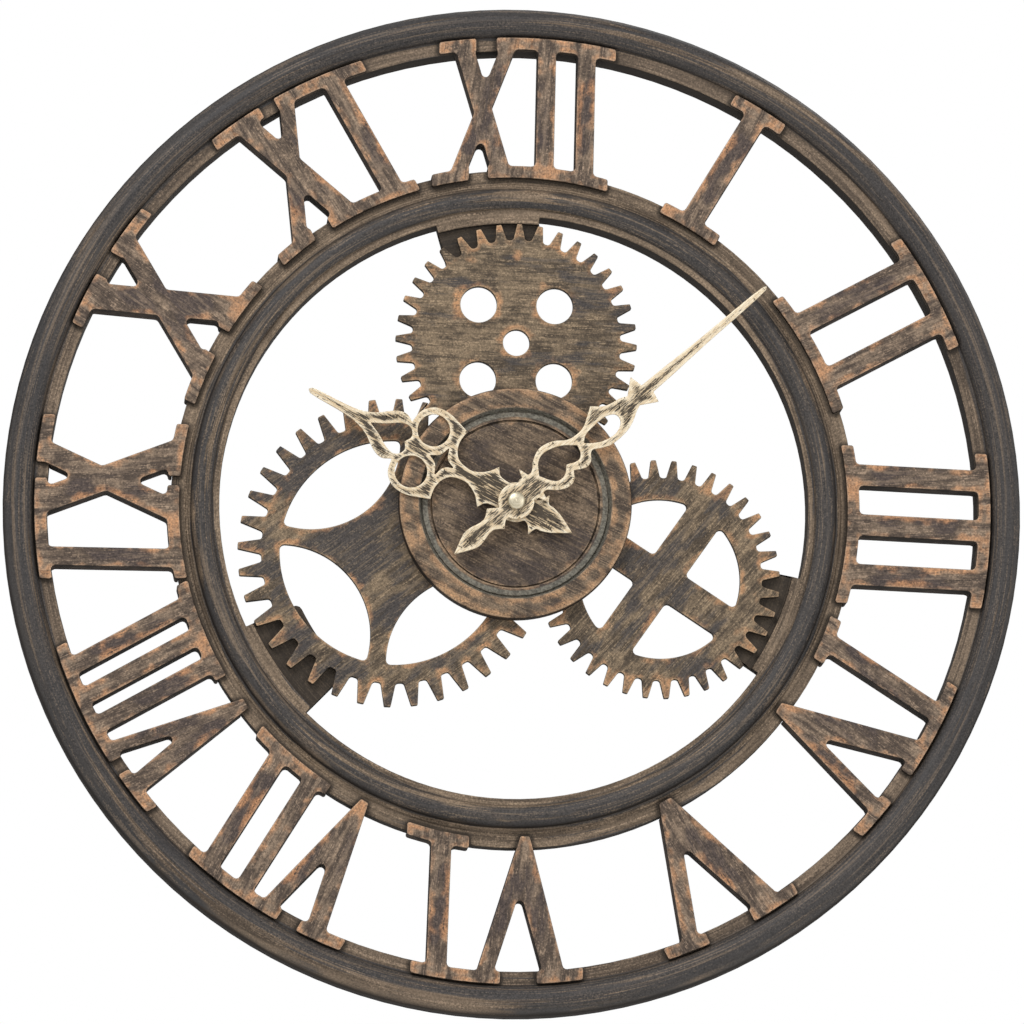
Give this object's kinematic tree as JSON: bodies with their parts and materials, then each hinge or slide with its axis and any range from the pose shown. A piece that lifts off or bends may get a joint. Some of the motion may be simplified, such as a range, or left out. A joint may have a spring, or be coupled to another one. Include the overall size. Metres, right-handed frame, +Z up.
{
  "type": "wall clock",
  "caption": "Round open-work wall clock: Roman numerals bridge an outer and an inner ring, with fixed gear plates, a grooved centre dial and ornate hands on a quartz movement.",
  "frame": {"origin": "On the hands' axis, in the plane of the wall", "axes": "+Z up towards XII, the wall on the +Y side, the face towards -Y, +X to the viewer's right"},
  "size_m": [0.4499, 0.0358, 0.45],
  "materials": {
    "bronze": "satin",
    "charcoal": "satin",
    "steel": "satin",
    "brass": "satin",
    "case_plastic": "matte",
    "white_plastic": "satin",
    "rubber": "matte",
    "board": "satin",
    "copper_wire": "satin",
    "battery_can": "gloss",
    "hands": "satin"
  },
  "bodies": {
    "root": {"outer_ring": "bronze", "inner_ring": "bronze", "numeral_01": "bronze", "numeral_02": "bronze", "numeral_03": "bronze", "numeral_04": "bronze", "numeral_05": "bronze", "numeral_06": "bronze", "numeral_07": "bronze", "numeral_08": "bronze", "numeral_09": "bronze", "numeral_10": "bronze", "numeral_11": "bronze", "numeral_12": "bronze", "numeral_screws": "steel", "top_gear_plate": "bronze", "left_gear_plate": "bronze", "right_gear_plate": "bronze", "gear_screws": "steel", "dial": "charcoal", "dial_screws": "steel", "dial_gasket": "rubber", "fixing_washer": "brass", "fixing_nut": "brass", "front_case": "case_plastic", "rear_cover": "case_plastic", "train_bridge": "white_plastic", "circuit_board": "board", "quartz_crystal": "steel", "stator": "steel", "coil": "copper_wire", "battery": "battery_can", "positive_contact": "brass", "negative_contact": "brass", "hanger_plate": "steel", "hanger_screws": "steel"},
    "minute_set": {"minute_arbor": "brass", "minute_hand": "hands", "hand_nut": "brass"},
    "hour_set": {"hour_wheel": "white_plastic", "hour_hand": "hands"},
    "minute_wheel_set": {"minute_wheel": "white_plastic"},
    "setter": {"setting_knob": "white_plastic"},
    "rotor_set": {"rotor": "steel"},
    "fifth_set": {"fifth_wheel": "white_plastic"},
    "fourth_set": {"fourth_wheel": "white_plastic"},
    "third_set": {"third_wheel": "white_plastic"},
    "centre_set": {"centre_wheel": "white_plastic"}
  },
  "joints": [
    {"name": "minute_turn", "type": "hinge", "parent": "root", "child": "minute_set", "pos_m": [0, 0, 0], "axis": [0, 1, 0], "continuous": true},
    {"name": "hour_turn", "type": "hinge", "parent": "root", "child": "hour_set", "pos_m": [0, 0, 0], "axis": [0, 1, 0], "continuous": true},
    {"name": "minute_wheel_turn", "type": "hinge", "parent": "root", "child": "minute_wheel_set", "pos_m": [0.00789, 0, -0.00287], "axis": [0, 1, 0], "continuous": true},
    {"name": "setting_turn", "type": "hinge", "parent": "root", "child": "setter", "pos_m": [0.01579, 0, -0.00575], "axis": [0, 1, 0], "continuous": true},
    {"name": "fourth_turn", "type": "hinge", "parent": "root", "child": "fourth_set", "pos_m": [0, 0, 0], "axis": [0, 1, 0], "continuous": true},
    {"name": "rotor_turn", "type": "hinge", "parent": "root", "child": "rotor_set", "pos_m": [-0.0123, 0, 0.0071], "axis": [0, 1, 0], "continuous": true},
    {"name": "fifth_turn", "type": "hinge", "parent": "root", "child": "fifth_set", "pos_m": [-0.00606, 0, 0.0035], "axis": [0, 1, 0], "continuous": true},
    {"name": "third_turn", "type": "hinge", "parent": "root", "child": "third_set", "pos_m": [0.0054, 0, 0.00935], "axis": [0, 1, 0], "continuous": true},
    {"name": "centre_turn", "type": "hinge", "parent": "root", "child": "centre_set", "pos_m": [0, 0, 0], "axis": [0, 1, 0], "continuous": true}
  ],
  "couplings": [
    {"joint": "hour_turn", "follows": "minute_turn", "ratio": 0.083333},
    {"joint": "minute_wheel_turn", "follows": "minute_turn", "ratio": -0.33333},
    {"joint": "setting_turn", "follows": "minute_turn", "ratio": 1},
    {"joint": "rotor_turn", "follows": "fourth_turn", "ratio": 30},
    {"joint": "fifth_turn", "follows": "fourth_turn", "ratio": -6},
    {"joint": "third_turn", "follows": "fourth_turn", "ratio": -0.125},
    {"joint": "centre_turn", "follows": "fourth_turn", "ratio": 0.016667}
  ]
}
